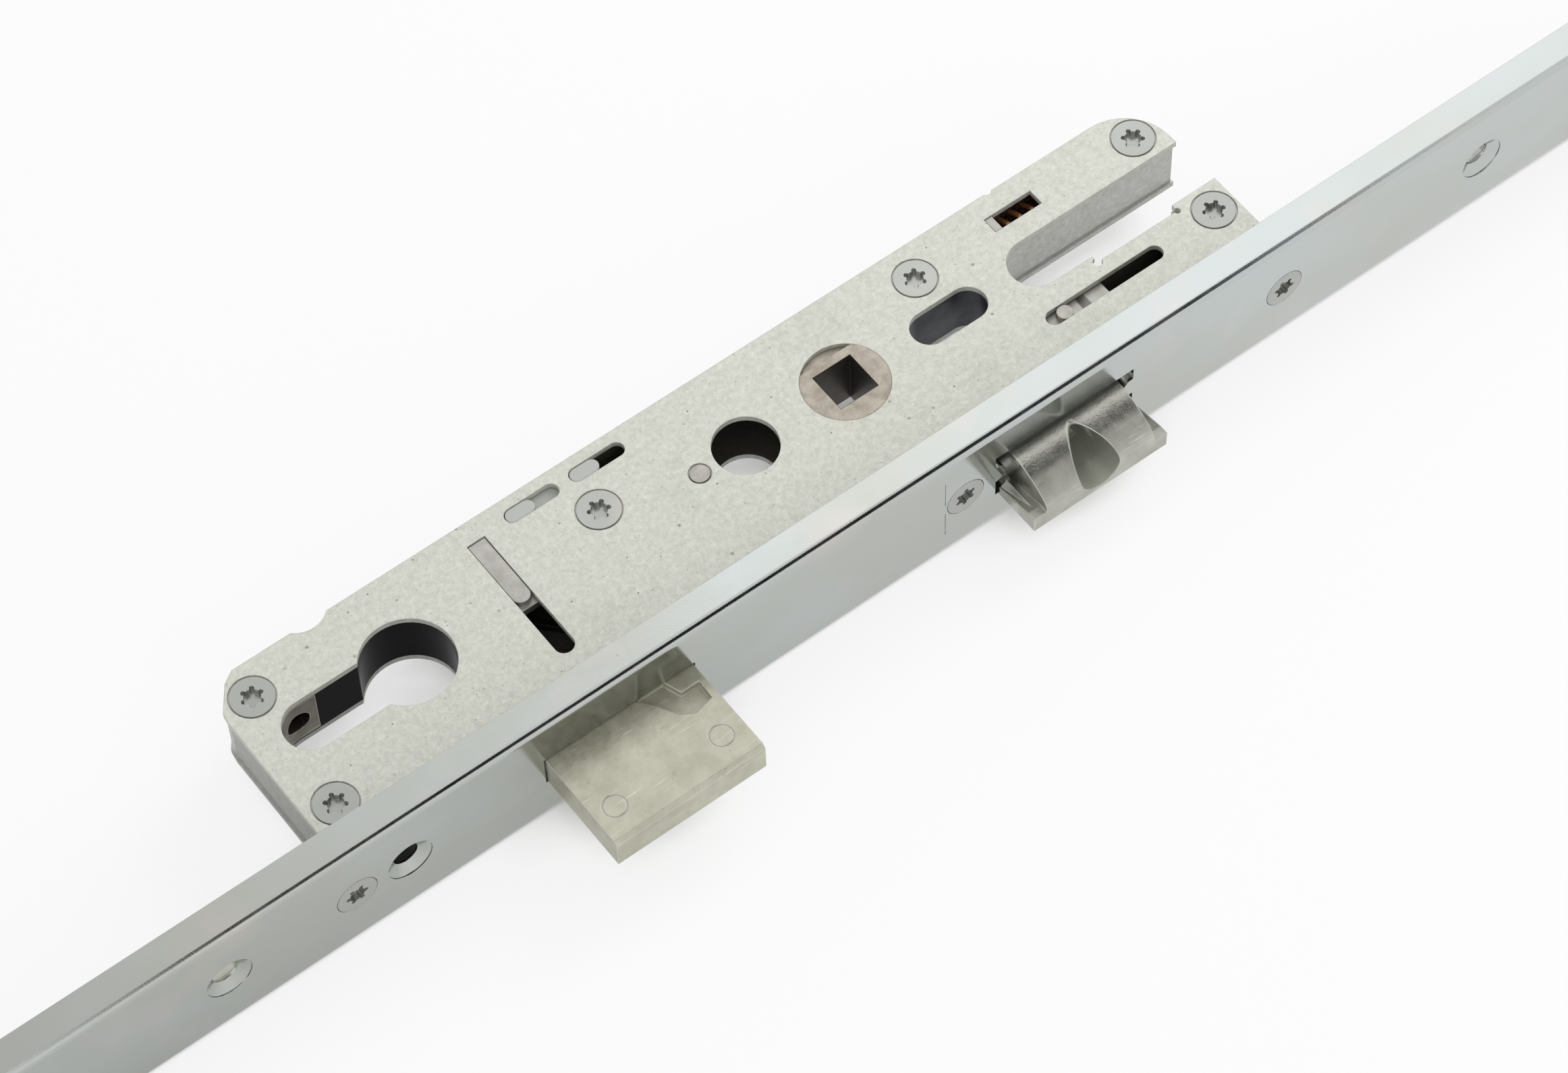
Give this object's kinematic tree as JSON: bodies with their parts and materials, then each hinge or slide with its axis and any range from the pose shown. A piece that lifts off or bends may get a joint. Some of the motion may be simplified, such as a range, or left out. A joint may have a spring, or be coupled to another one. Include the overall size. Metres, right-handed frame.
{
  "type": "multipoint door lock",
  "caption": "Narrow mortice lock case behind a long face rail, with ramped latch, deadbolt, square-spindle follower, profile keyhole and sliding drive rods.",
  "frame": {"origin": "axis of the square spindle hole at half the case's thickness", "axes": "+X up the door along the rail, +Y from the rail into the door to the case's back, +Z through the door from the far plate to the cover"},
  "size_m": [0.37, 0.0647, 0.027],
  "materials": {
    "zinc_plate": "bright zinc plate, glossy, faint blue",
    "galvanised_sheet": "matte zinc-coated sheet, pale warm grey",
    "mechanism_steel": "plain steel, satin, lightly oiled",
    "bright_zinc": "bright zinc plate on screws",
    "black_lining": "glossy black coated sheet",
    "die_cast": "satin zinc die casting",
    "dark_steel": "dark oiled steel",
    "sintered_steel": "sintered steel, taupe",
    "spring_steel": "spring wire",
    "brown_spring": "brown coated spring wire",
    "nylon": "white nylon"
  },
  "bodies": {
    "case": {"face_rail": "zinc_plate", "case_tray": "galvanised_sheet", "case_cover": "galvanised_sheet", "case_pillars": "mechanism_steel", "case_screws": "bright_zinc", "rail_screws": "bright_zinc", "rail_lugs": "mechanism_steel", "keyhole_lining": "black_lining", "cylinder_screw_boss": "die_cast", "fixing_slot_lining": "dark_steel", "spring_stop": "mechanism_steel", "lever_pivot_pin": "mechanism_steel", "return_spring": "brown_spring", "latch_spring": "spring_steel"},
    "drive": {"drive_slide": "mechanism_steel", "slide_block": "mechanism_steel", "slide_pin": "mechanism_steel", "upper_drive_rod": "zinc_plate", "lower_drive_rod": "zinc_plate"},
    "follower": {"spindle_follower": "sintered_steel"},
    "latch": {"latch_bolt": "die_cast", "latch_screw": "bright_zinc", "latch_carriage": "mechanism_steel"},
    "bolt": {"deadbolt": "die_cast", "deadbolt_pin": "mechanism_steel"},
    "return_bar": {"draw_bar": "mechanism_steel"},
    "key_slider": {"key_slide": "mechanism_steel"},
    "lever": {"locking_lever": "mechanism_steel"},
    "nylon": {"nylon_slider": "nylon"}
  },
  "joints": [
    {"name": "drive_travel", "type": "slide", "parent": "case", "child": "drive", "axis": [1, 0, 0], "range_m": [0, 0.018], "stiffness_N_per_m": 640, "springref_m": -0.004},
    {"name": "follower_turn", "type": "hinge", "parent": "case", "child": "follower", "pos_m": [0, 0, 0], "axis": [0, 0, 1], "range_deg": [0, 74]},
    {"name": "latch_travel", "type": "slide", "parent": "case", "child": "latch", "axis": [0, 1, 0], "range_m": [0, 0.0103], "deforming": ["latch_spring"]},
    {"name": "bolt_travel", "type": "slide", "parent": "case", "child": "bolt", "axis": [0, 1, 0], "range_m": [0, 0.0201]},
    {"name": "return_travel", "type": "slide", "parent": "case", "child": "return_bar", "axis": [-1, 0, 0], "range_m": [0, 0.0103], "deforming": ["return_spring"]},
    {"name": "key_travel", "type": "slide", "parent": "case", "child": "key_slider", "axis": [0, -1, 0], "range_m": [0, 0.0125]},
    {"name": "lever_turn", "type": "hinge", "parent": "case", "child": "lever", "pos_m": [-0.0311, 0.00025, 0], "axis": [0, 0, 1], "range_deg": [0, 27]},
    {"name": "nylon_travel", "type": "slide", "parent": "case", "child": "nylon", "axis": [1, 0, 0], "range_m": [0, 0.005]}
  ],
  "couplings": [
    {"joint": "follower_turn", "follows": "drive_travel", "rad_per_m": 71.429},
    {"joint": "latch_travel", "follows": "drive_travel", "ratio": 0.56667},
    {"joint": "bolt_travel", "follows": "drive_travel", "ratio": 1.1111},
    {"joint": "return_travel", "follows": "drive_travel", "ratio": 0.56667},
    {"joint": "lever_turn", "follows": "key_travel", "rad_per_m": 37}
  ]
}
